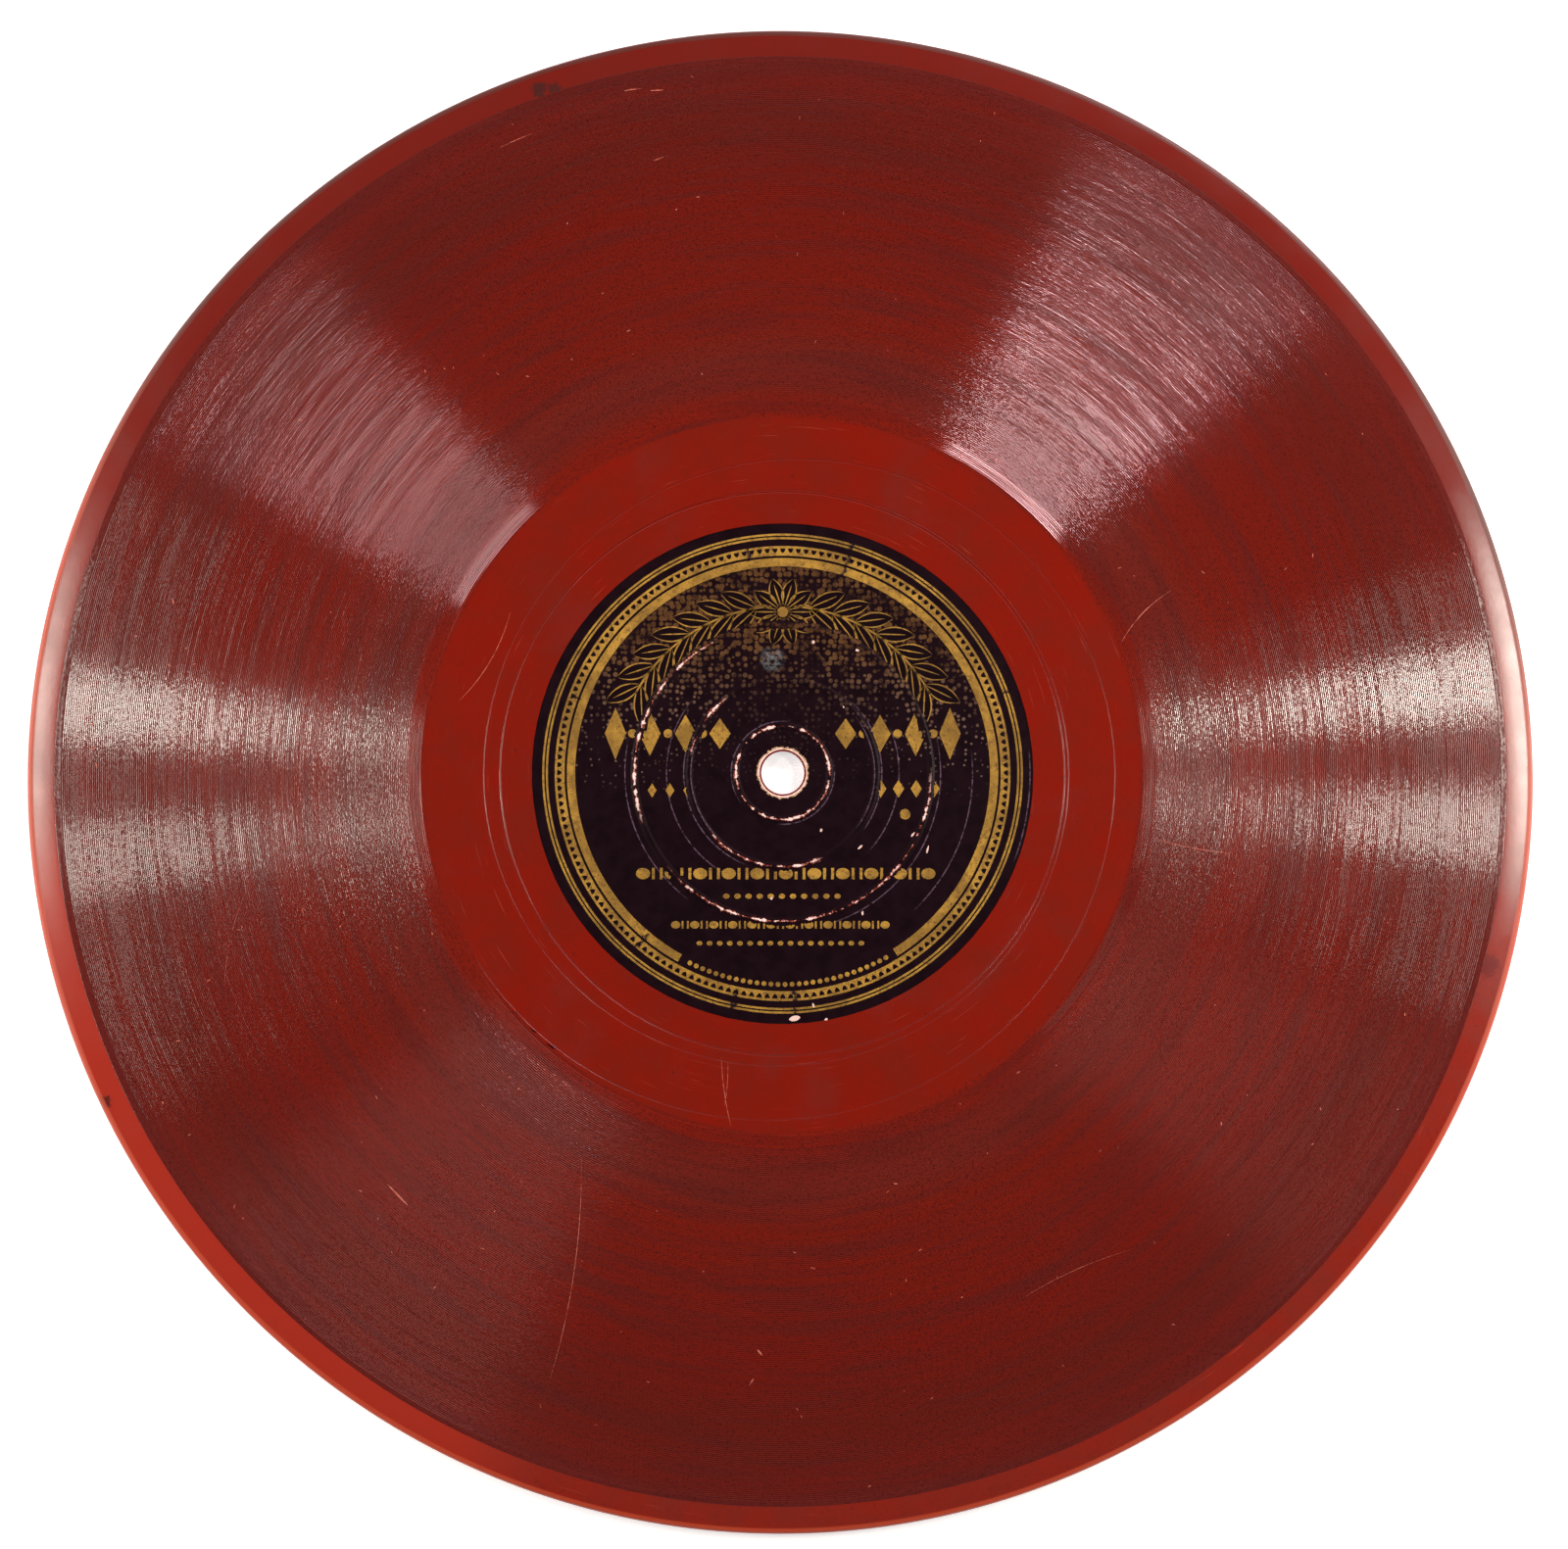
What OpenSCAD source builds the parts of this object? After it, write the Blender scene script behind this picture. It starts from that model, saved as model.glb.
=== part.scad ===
// A ten-inch shellac gramophone record: one pressed disc with a spiral groove
// in each face, and a paper label pressed into the middle of each face.
// Sizes are in millimetres. The disc lies flat on z = 0 with its hole on z.

/* [Disc] */
// Diameter over the rim
disc_d = 254; // [250:1:304]
// Thickness over the two recorded bands
disc_t = 2.1; // [1.9:0.1:2.6]
// Diameter of the spindle hole
hole_d = 7.26; // [7.2:0.02:7.4]
// Width of the smooth margin outside the recorded band
margin_w = 4.6; // [3:0.2:9]
// How far each face falls away across the margin
margin_drop = 0.25; // [0.1:0.05:0.4]

/* [Recorded band] */
// Distance from one turn of the spiral groove to the next
groove_pitch = 0.32; // [0.32:0.02:0.4]
// Depth of the groove
groove_depth = 0.07; // [0.05:0.01:0.09]
// Width of the plain strip outside the first turn, where the needle is set down
strip_w = 0.9; // [0.5:0.1:2]
// Smallest diameter that the recording may reach
inner_d = 121; // [116:1:136]

/* [Lead-out] */
// Diameter of the closed groove that the needle ends in
lock_d = 95.2; // [92:0.4:104]
// Width of the closed groove at its mouth
lock_w = 0.3; // [0.28:0.01:0.4]
// Width of the lead-out groove at its mouth
lead_w = 0.2; // [0.16:0.01:0.24]
// Share of the way still to go after each half turn of the lead-out
lead_left = [0.65, 0.21, 0.05];

/* [Label] */
// Diameter of each paper label
label_d = 84.4; // [76:0.4:90]
// Thickness of the label paper
label_t = 0.12; // [0.08:0.01:0.2]
// Gap between a label and the wall of its seat
label_gap = 0.05; // [0.02:0.01:0.2]
// How much wider the label's hole is than the spindle hole, on each side
label_hole_gap = 0.3; // [0.1:0.05:0.6]
// Diameters of the raised rings that the press leaves under the label
ring_d = [15.8, 31.6, 50];
// Width of the flat top of a raised ring
ring_w = 0.5; // [0.3:0.1:1]
// Height of a raised ring
ring_h = 0.1; // [0.06:0.01:0.15]
// Width of the slope on each side of a raised ring
ring_slope = 0.4; // [0.2:0.1:0.8]

/* [Hidden] */
$fn = 128;

// What is left of the band under its groove.
band_floor = 0.01;
// How deep the band is rooted in the disc under it.
band_root = 0.15;
// Hairline between the two halves of a band.
seam_hair = 0.008;
// The spiral starts and stops on the left, on the x axis.
seam_angle = 180;
// How far a groove's cutter stands above the face.
cutter_top = 0.02;

disc_r = disc_d / 2;
hole_r = hole_d / 2;
lock_r = lock_d / 2;
half_t = disc_t / 2;
band_rise = groove_depth + band_floor;
face_z = half_t - band_rise;
rim_r = face_z - margin_drop;
margin_r = disc_r - margin_w;
seat_r = label_d / 2 + label_gap;
seat_z = face_z - ring_h - label_t;

// The spiral is struck from two centres, each a quarter of a pitch from the
// middle of the disc: every half turn is a true arc, and the radius is half a
// pitch less at the end of it. The points are kept to whole microns.
centre_shift = micron(groove_pitch / 4);
pitch = 4 * centre_shift;
band_r = micron(margin_r - band_rise);
start_r = micron(band_r - strip_w);
turns = floor((start_r - inner_d / 2) / pitch);
end_r = start_r - turns * pitch;
lead_r = [end_r, for (s = lead_left) lock_r + s * (end_r - lock_r), lock_r];

function micron(x) = round(x * 1000) / 1000;
function flip(points) = [for (i = [len(points) - 1:-1:0]) [points[i][0], -points[i][1]]];
// The floor of a label's seat from its wall in to the hole, with its rings.
function seat_line(from_r, to_r) = [
    [from_r, seat_z],
    for (i = [len(ring_d) - 1:-1:0]) each ring_points(ring_d[i] / 2),
    [to_r, seat_z]
];
function ring_points(r) = [
    [r + ring_w / 2 + ring_slope, seat_z],
    [r + ring_w / 2, seat_z + ring_h],
    [r - ring_w / 2, seat_z + ring_h],
    [r - ring_w / 2 - ring_slope, seat_z]
];

shellac_disc();
front_label();
back_label();

module shellac_disc() {
    color([0.45, 0.1, 0.08])
        translate([0, 0, half_t]) {
            difference() {
                blank();
                lead_out();
                rotate([180, 0, 0]) lead_out();
            }
            recorded_band();
            rotate([180, 0, 0]) recorded_band();
        }
}

// The disc without its recorded bands, its middle plane at z = 0.
module blank() {
    face = concat([[disc_r - rim_r, rim_r], [margin_r, face_z], [seat_r, face_z]],
        seat_line(seat_r, hole_r));
    rotate_extrude() {
        polygon(concat(face, flip(face)));
        translate([disc_r - rim_r, 0]) circle(rim_r);
    }
}

// Both halves of one face's band, each about its own centre.
module recorded_band() {
    for (half = [0, 1])
        translate([0, 0, half_t])
            rotate([0, 0, seam_angle + 180 * half])
                translate([centre_shift, seam_hair / 2, 0])
                    rotate_extrude(angle = 180)
                        band_section(centre_shift * (1 + 2 * half));
}

// The section of the band, with a notch for every turn and a sharp edge
// between turns. The last turn is open on its inner side, so that the needle
// can slide off to the lead-out.
module band_section(less) {
    first = start_r - less;
    last = first - (turns - 1) * pitch;
    low = -band_rise - band_root;
    polygon(concat(
        [[band_r - less - low, low], [band_r - less, 0]],
        [for (k = [0:turns - 1]) each notch(first - k * pitch)],
        [[last, low]]
    ));
}

function notch(r) = [[r + pitch / 2, 0], [r, -groove_depth]];

// The cutters for one face's lead-out: half turns that end in a closed ring.
module lead_out() {
    translate([0, 0, face_z])
        rotate([0, 0, seam_angle]) {
            for (i = [0:len(lead_r) - 2])
                rotate([0, 0, 180 * i])
                    translate([(lead_r[i] - lead_r[i + 1]) / 2, 0, 0])
                        rotate_extrude(angle = 180)
                            vee((lead_r[i] + lead_r[i + 1]) / 2, lead_w);
            rotate_extrude() vee(lock_r, lock_w);
        }
}

// The section of a groove's cutter, as wide as w at the face.
module vee(r, w) {
    deep = groove_depth * w / lead_w;
    wide = w / 2 * (1 + cutter_top / deep);
    polygon([[r, -deep], [r + wide, cutter_top], [r - wide, cutter_top]]);
}

module front_label() {
    color([0.13, 0.07, 0.1])
        translate([0, 0, half_t])
            label();
}

module back_label() {
    color([0.13, 0.07, 0.1])
        translate([0, 0, half_t])
            rotate([180, 0, 0])
                label();
}

// A paper ring that lies on its seat and follows the raised rings.
module label() {
    under = seat_line(label_d / 2, hole_r + label_hole_gap);
    over = [for (i = [len(under) - 1:-1:0]) under[i] + [0, label_t]];
    rotate_extrude()
        polygon(concat(under, over));
}
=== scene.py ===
"""Looks of a ten-inch shellac record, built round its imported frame.

Lengths are in millimetres in the sizes below and in metres in the scene. The disc lies flat with its
hole on z, and the side that shows is the upper one. Angles are in degrees from +x, towards +y.
"""
import math

import bmesh
import bpy
import numpy as np
from mathutils import Matrix, Vector


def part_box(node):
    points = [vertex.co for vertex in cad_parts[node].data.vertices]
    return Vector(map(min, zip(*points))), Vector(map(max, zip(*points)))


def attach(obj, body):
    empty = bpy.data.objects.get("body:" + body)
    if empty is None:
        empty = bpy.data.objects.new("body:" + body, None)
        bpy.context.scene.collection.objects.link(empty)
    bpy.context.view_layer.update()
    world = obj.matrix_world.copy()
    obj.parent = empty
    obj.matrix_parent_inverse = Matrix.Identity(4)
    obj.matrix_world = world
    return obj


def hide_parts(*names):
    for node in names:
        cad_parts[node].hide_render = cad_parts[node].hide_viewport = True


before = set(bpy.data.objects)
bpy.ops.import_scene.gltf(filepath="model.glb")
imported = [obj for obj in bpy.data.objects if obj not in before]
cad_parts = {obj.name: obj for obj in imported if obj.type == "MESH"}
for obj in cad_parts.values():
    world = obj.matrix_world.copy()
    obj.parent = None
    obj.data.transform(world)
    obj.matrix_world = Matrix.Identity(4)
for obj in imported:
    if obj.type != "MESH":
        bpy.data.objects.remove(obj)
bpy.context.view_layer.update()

MM = 0.001

# Sizes read from the frame
disc_low, disc_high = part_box("shellac_disc")
label_low, label_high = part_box("front_label")
DISC_R = disc_high.x / MM
DISC_T = disc_high.z / MM
MID_Z = DISC_T / 2
LABEL_R = label_high.x / MM
FACE_Z = label_high.z / MM

# Smooth margin and edge
MARGIN_R = 122.4
MARGIN_DROP = 0.25
RIM_SEGMENTS = 720
RIM_STEPS = 18
RIM_ROOT = 0.5  # how far the margin reaches in under the band
# The start of its section: distance out from MARGIN_R, and how far it lies below the run-out's level
MARGIN_START = ((-RIM_ROOT, 0.001), (-0.02, 0.0005), (0.25, 0.008))
MARGIN_SHARES = (0.2, 0.4, 0.6, 0.75, 0.9)
MARGIN_EVEN = 0.45  # share of the fall that is even; the rest grows towards the edge
EDGE_STEEP = 86  # degrees from level at which the edge's round section starts
EDGE_R = 126.1  # where the edge's own colour sets in, with painted shade at the top

# Recorded band
BAND_INNER_R = 60.5
GROOVE_START_R = 121.42
GROOVE_PITCH = 0.32
GROOVE_DEPTH = 0.07
GROOVE_START_ANGLE = math.pi
TURN_STEPS = 240
FADE_STEPS = TURN_STEPS / 8  # the groove deepens and ends over an eighth of a turn
SWING = 0.006  # spread of the swings in the needle's path
QUIET_TURNS = 8  # turns at each end over which the swings grow
BAND_SEED = 11
BAND_GAP = 0.05  # between the band's outer wall and the margin
BAND_LAP = 0.2  # how far the band reaches in past its inner radius
# Outer edge of the band: a shoulder below its top, and a lip in from the margin
SHOULDER_DROP = 0.06
LIP_IN = 0.1
LIP_DROP = 0.035
SHARP_ANGLE = 20  # degrees between faces above which an edge is drawn sharp
MAP_REACH = 0.49  # the disc's radius on its map, which is one unit wide
# Radii on the map of the hidden sides, laid as small rings
MAP_SHOULDER, MAP_UNDER_OUTER, MAP_UNDER_INNER, MAP_INNER = 0.21, 0.19, 0.13, 0.11
WALL_SWAY = 0.036  # slopes by which the sound tilts a wall in and out, and along the groove
WALL_LEAN = 0.014
STREAK_SWAY = 0.032

# Lead-out: its walls lie outside this radius, and their normals' upward share is between these two
LEAD_OUT_R = LABEL_R + 1.0
WALL_STEEP, WALL_FLAT = 0.2, 0.99

# Label
RIDGE_H = 0.1  # its raised rings reach up to the run-out's level
LABEL_FLAT_Z = FACE_Z - RIDGE_H
RIDGE_RADII = (7.9, 15.8, 25.0)
RIDGE_REACH = 0.75  # no ink lies nearer than this to the middle of a raised ring
# Heights of what lies on the paper
INK_LIFT = 0.012
LEAF_LIFT = 0.6 * INK_LIFT
FLECK_LIFT = 1.5 * INK_LIFT

# Print on a label: radii of its rules, its teeth, and a broad ring that is open at the foot
RULES = ((39.55, 39.9), (40.15, 40.5), (36.75, 37.2), (38.0, 38.4))
TEETH = 180
TOOTH_FOOT_R = 37.2
TOOTH_H = 0.8
TOOTH_HALF = 0.68  # half a tooth's width in degrees
TOOTH_CURVE = 1.3
BROAD_RING = (34.95, 36.35)
BROAD_SPAN = (-58, 241)
# Beads in the ring's opening
OPENING_BEADS = 30
OPENING_BEAD_R = 0.42
OPENING_R = 35.6
OPENING_START = 244
OPENING_STEP = 1.9
# Laurel: the stem's radius, each pair's two leaves as lean and length, and a leaf's width
LAUREL_R = 28.2
LAUREL_PAIRS = 7
LAUREL_START = 81
LAUREL_STEP = 8.2
LAUREL_LEAVES = ((32, 6.6), (-34, 7.2))
LAUREL_LEAF_W = 2.7
STEM_HALF = 0.15
STEM_SPAN = (86, 28)
# Shares of a leaf's half width at which its outline starts, and of its length that the midrib takes
LEAF_EDGE = 0.82
MIDRIB_SHARE = 0.8
MIDRIB_W = 0.22
# Rosette between the branches
ROSETTE_Y = 27.2
PETALS = 10
PETAL_L = 4.9
PETAL_W = 2.5
PETAL_FOOT_R = 1.0
ROSETTE_EYE_R = 0.9
# Large lozenges: x and height, and the radius and distance of the dots between them
LOZENGE_Y = 6.6
LOZENGE_W = 3.6
LOZENGES = ((10.6, 5.2), (16.4, 6.4), (22.4, 7.6), (28.2, 8.8))
BETWEEN_R = 0.75
BETWEEN_X = 2.95
# Small lozenges: start, step, height and width of each row, and a dot under one row: place and radius
SMALL_LOZENGE_Y = -4.2
SMALL_LOZENGE_COUNT = 4
SMALL_LOZENGES = ((16.5, 3.0, 3.0, 1.9), (-25.0, 3.0, 2.4, 1.5))
LONE_DOT = (20.6, -7.0, 0.9)
# Rows of beads: height, start, end, a bead's width, and whether bars stand between the beads
BEAD_ROWS = (
    (-17.0, -23.5, 24.5, 2.4, True),
    (-20.8, -9.5, 11.0, 1.1, False),
    (-25.6, -18.0, 19.0, 1.6, True),
    (-28.7, -14.0, 14.5, 1.0, False),
)
# In shares of a bead's width: the step with bars and without, a bead's height, and a bar's width
BARRED_STEP = 2.0
PLAIN_STEP = 1.7
BEAD_H = 0.8
BAR_W = 0.2
# How far a bead is drawn out along its row, and how far a bar stands from halfway, in shares of a step
BEAD_STRETCH = 1.25
BAR_ASIDE = 0.14

# Arcs on a label: radius, then azimuths and half widths in degrees
BARE_ARCS = (
    (7.9, ((300, 150), (150, 60))),
    (15.8, ((148, 19), (256, 36))),
    (25.0, ((156, 40), (290, 64))),
)
# Paler arcs, mostly on the left and right: partly rubbed wear and partly painted reflection where the
# lamps catch the paper
RUBBED_AND_SHEEN_ARCS = (
    (8.7, ((150, 60), (320, 50))),
    (15.5, ((0, 34), (195, 30))),
    (16.7, ((5, 38), (205, 40))),
    (19.6, ((350, 30), (190, 45))),
    (26.6, ((200, 30), (330, 40))),
    (32.0, ((340, 24),)),
    # A painted reflection along the label's edge
    (41.7, ((352, 12),)),
)
# A scuff on the paper
SCUFF = (-1.8, 19.2)
# Cracks in the gold: azimuth, and the radii between which they run
CRACKS = (
    (73, 34, 41),
    (99, 36, 39),
    (230, 35, 38.6),
    (258, 37, 41),
    (273, 36, 41),
    (160, 36, 38),
    (20, 39, 41),
)

# Stains on the margin: place, reach and colour
STAINS = (
    ((118.7, -32.5), 2.3, (104, 14, 12)),
    ((-41.6, 116.5), 1.6, (66, 34, 30)),
    ((-38.9, 116.6), 1.3, (70, 34, 30)),
    ((-113.4, -55.2), 1.5, (70, 24, 20)),
)
# Scratches: start, end, width, and how far they bow to the left
SCRATCHES = (
    ((57.3, 22.2), (65.7, 30.9), 0.14, 0.8),
    ((-33.7, -64.6), (-38.9, -101.6), 0.1, 1.5),
    ((-10.3, -47.8), (-8.7, -59.2), 0.1, -0.3),
    ((-9.2, -48.6), (-9.8, -56.0), 0.08, 0.2),
    ((-66.0, -68.9), (-62.6, -72.4), 0.3, 0.0),
    ((-48.2, 106.3), (-42.7, 108.8), 0.1, 0.1),
    ((-22.1, 104.2), (-20.2, 104.9), 0.2, 0.0),
    ((-4.9, -101.2), (-5.6, -102.3), 0.3, 0.0),
    ((2.3, -106.0), (2.5, -106.5), 0.2, 0.0),
    ((3.0, -107.3), (3.2, -107.8), 0.2, 0.0),
    ((-102.8, 29.3), (-102.6, 28.2), 0.25, 0.0),
    ((-80.7, -22.2), (-80.3, -24.4), 0.09, 0.0),
    ((-80.2, -25.6), (-80.0, -27.0), 0.09, 0.0),
    ((-91.5, -26.4), (-90.9, -26.5), 0.25, 0.0),
    ((-116.2, 8.6), (-116.0, 7.6), 0.22, 0.0),
    ((-115.8, 4.4), (-115.6, 3.6), 0.22, 0.0),
    ((-115.4, 1.6), (-115.2, 0.8), 0.2, 0.0),
    ((-27.0, 116.2), (-24.0, 116.6), 0.2, 0.1),
    ((-22.6, 116.3), (-20.4, 116.4), 0.2, 0.0),
    ((62.4, -11.0), (76.0, -13.6), 0.12, -0.4),
    ((109.4, 27.4), (109.9, 25.0), 0.14, 0.2),
    ((-4.2, -96.4), (-3.4, -97.4), 0.3, 0.0),
    ((-54.6, 12.0), (-46.0, 27.0), 0.1, -1.2),
    ((-90.0, -20.0), (-93.5, -36.0), 0.07, -0.8),
    ((40.0, -88.0), (58.0, -80.0), 0.06, 0.7),
)
# Small nicks, strewn over the recorded band: their number, and the bounds of their places and sizes
NICKS = 150
NICK_SEED = 23
NICK_RADII = (BAND_INNER_R + 2, MARGIN_R - 1)
NICK_LENGTHS = (0.25, 0.85)
NICK_WIDTHS = (0.12, 0.22)
# How scratches lie to the band's top and to the run-out
BAND_MARK_DROP = 0.002
RUN_OUT_MARK_LIFT = 0.003
# Flecks where the label is torn down to white paper: place, azimuth, length and width
FLECKS = (
    (1.0, -41.5, 12, 2.0, 0.9),
    (7.0, -42.0, 60, 0.9, 0.5),
    (5.2, -39.5, 100, 0.8, 0.35),
    (12.6, -12.9, 40, 1.1, 0.35),
    (21.6, -10.8, 50, 1.0, 0.35),
    (24.2, -13.6, 75, 1.4, 0.3),
    (6.4, -10.0, 80, 0.6, 0.4),
    (13.4, -24.0, 90, 0.7, 0.4),
    (17.3, 17.3, 60, 0.6, 0.5),
    (12.3, 20.6, 30, 0.9, 0.6),
    (5.1, 21.8, 80, 0.6, 0.5),
    (-8.4, 23.2, 60, 0.7, 0.5),
    (10.2, 10.9, 70, 0.8, 0.35),
    (-2.0, -21.4, 70, 0.5, 0.4),
)

# Photograph: its width and the shift of its centre in pixels, the camera's distance and the width
# that it sees in metres, how far it leans from straight down and to which side in degrees
IMAGE_W = 1600
CENTRE_SHIFT = (1.2, -1.9)
CAMERA_DISTANCE = 0.5
VIEW_WIDTH = 0.2641
CAMERA_TILT = 2.96
CAMERA_SIDE = 15.0
SENSOR_W = 36.0

# Light: the floor's reach in metres, its height and its glow, and the sky's strength by height
FLOOR_R = 1.2
FLOOR_Z = -0.3
FLOOR_GLOW = 0.6
SKY_FADE = {"From Min": 0.2, "From Max": 0.45, "To Min": 1.0, "To Max": 0.08}
PINK = (1.0, 0.65, 0.67)
RUDDY = (1.0, 0.58, 0.5)
WARM = (1.0, 0.94, 0.84)
# Each lamp: name, azimuth, elevation, distance and size in metres, power in watts, and colour
LAMPS = (
    ("back_right", 53.2, 33.5, 1.0, (0.31, 0.1), 5.2, PINK),
    ("back_left", 139.9, 33.5, 1.0, (0.27, 0.1), 1.8, PINK),
    ("back_right_high", 53.4, 53, 3.0, (0.81, 0.3), 2.1, RUDDY),
    ("back_left_high", 142.4, 53, 3.0, (0.72, 0.3), 1.5, RUDDY),
    ("right_upper", 9.6, 21, 0.45, (0.04, 0.055), 0.41, WARM),
    ("right_lower", 358, 20.7, 0.45, (0.042, 0.055), 0.25, WARM),
    ("left_upper", 172.2, 23, 0.46, (0.04, 0.055), 0.31, WARM),
    ("left_lower", 184.8, 22.3, 0.46, (0.044, 0.055), 0.185, WARM),
    ("right_wide", 1, 19.5, 0.45, (0.28, 0.036), 0.24, WARM),
    ("left_wide", 180, 19.5, 0.45, (0.42, 0.036), 0.46, WARM),
    ("right_high", 8, 48.5, 0.39, (0.105, 0.048), 0.35, WARM),
    ("left_high", 172.5, 49.5, 0.39, (0.1, 0.048), 0.2, WARM),
)

# Shares of a sector's half width between which it fades out
SECTOR_FADE = (0.8, 1.15)


class Graph:
    """A material's nodes. Each call adds a node and gives back its output."""

    def __init__(self, name):
        self.material = bpy.data.materials.new(name)
        self.material.use_nodes = True
        self.tree = self.material.node_tree
        self.shader = self.tree.nodes["Principled BSDF"]

    def node(self, kind, inputs=(), **settings):
        made = self.tree.nodes.new(kind)
        for key, value in settings.items():
            setattr(made, key, value)
        for key, value in dict(inputs).items():
            self.feed(made.inputs[key], value)
        return made

    def feed(self, socket, value):
        if isinstance(value, bpy.types.NodeSocket):
            self.tree.links.new(value, socket)
        else:
            socket.default_value = value

    def set(self, **inputs):
        for key, value in inputs.items():
            self.feed(self.shader.inputs[key.replace("_", " ")], value)

    def math(self, operation, a, b=0.0, clamp=False):
        made = self.node("ShaderNodeMath", {0: a, 1: b}, operation=operation, use_clamp=clamp)
        return made.outputs[0]

    def times(self, a, b):
        return self.math("MULTIPLY", a, b)

    def vector(self, operation, a, b=(0.0, 0.0, 0.0)):
        made = self.node("ShaderNodeVectorMath", {0: a, 1: b}, operation=operation)
        return made.outputs["Value" if operation in ("LENGTH", "DOT_PRODUCT") else "Vector"]

    def millimetres(self):
        at = self.node("ShaderNodeTexCoord").outputs["Object"]
        return self.vector("MULTIPLY", at, (1 / MM,) * 3)

    def noise(self, at, scale=1.0, detail=2.0, roughness=0.5):
        inputs = {"Vector": at, "Scale": scale, "Detail": detail, "Roughness": roughness}
        return self.node("ShaderNodeTexNoise", inputs).outputs["Fac"]

    def smooth(self, value, start, end, low=0.0, high=1.0):
        inputs = {"Value": value, "From Min": start, "From Max": end, "To Min": low, "To Max": high}
        return self.node("ShaderNodeMapRange", inputs, interpolation_type="SMOOTHSTEP").outputs[0]

    def mix(self, share, a, b, blend="MIX"):
        made = self.node("ShaderNodeMix", {0: share, 6: a, 7: b}, data_type="RGBA", blend_type=blend)
        return made.outputs[2]

    def ramp(self, value, stops):
        made = self.node("ShaderNodeValToRGB", {"Fac": value})
        points = made.color_ramp.elements
        while len(points) < len(stops):
            points.new(1.0)
        for point, (place, colour) in zip(points, stops):
            point.position = place
            point.color = colour
        return made.outputs["Color"]

    def bump(self, height, distance_mm, strength=1.0):
        inputs = {"Height": height, "Distance": distance_mm * MM, "Strength": strength}
        return self.node("ShaderNodeBump", inputs).outputs["Normal"]

    def sectors(self, unit, spans):
        """One inside any of the spans, each an azimuth and half its width, and zero outside."""
        total = 0.0
        for azimuth, half in spans:
            turn = math.radians(azimuth)
            towards = self.vector("DOT_PRODUCT", unit, (math.cos(turn), math.sin(turn), 0.0))
            inner, outer = (math.cos(math.radians(min(half * share, 180.0))) for share in SECTOR_FADE)
            total = self.math("ADD", total, self.smooth(towards, outer, inner), clamp=True)
        return total

    def polar(self, at):
        """The distance from the hole's axis, and the unit vector that points away from it."""
        flat = self.vector("MULTIPLY", at, (1.0, 1.0, 0.0))
        return self.vector("LENGTH", flat), self.vector("NORMALIZE", flat)


def srgb(red, green, blue):
    """A colour given as it looks on a screen, 0 to 255, as the linear one that a node takes."""
    def linear(value):
        share = value / 255
        return share / 12.92 if share < 0.04045 else ((share + 0.055) / 1.055) ** 2.4
    return (linear(red), linear(green), linear(blue), 1.0)


def along_groove(graph, at, radius, around_mm, across_mm):
    """Coordinates for a pattern that is drawn out along the groove."""
    flat = graph.vector("MULTIPLY", at, (1 / around_mm, 1 / around_mm, 0.0))
    across = graph.math("DIVIDE", radius, across_mm)
    depth = graph.node("ShaderNodeCombineXYZ", {"Z": across}).outputs[0]
    return graph.vector("ADD", flat, depth)


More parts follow.
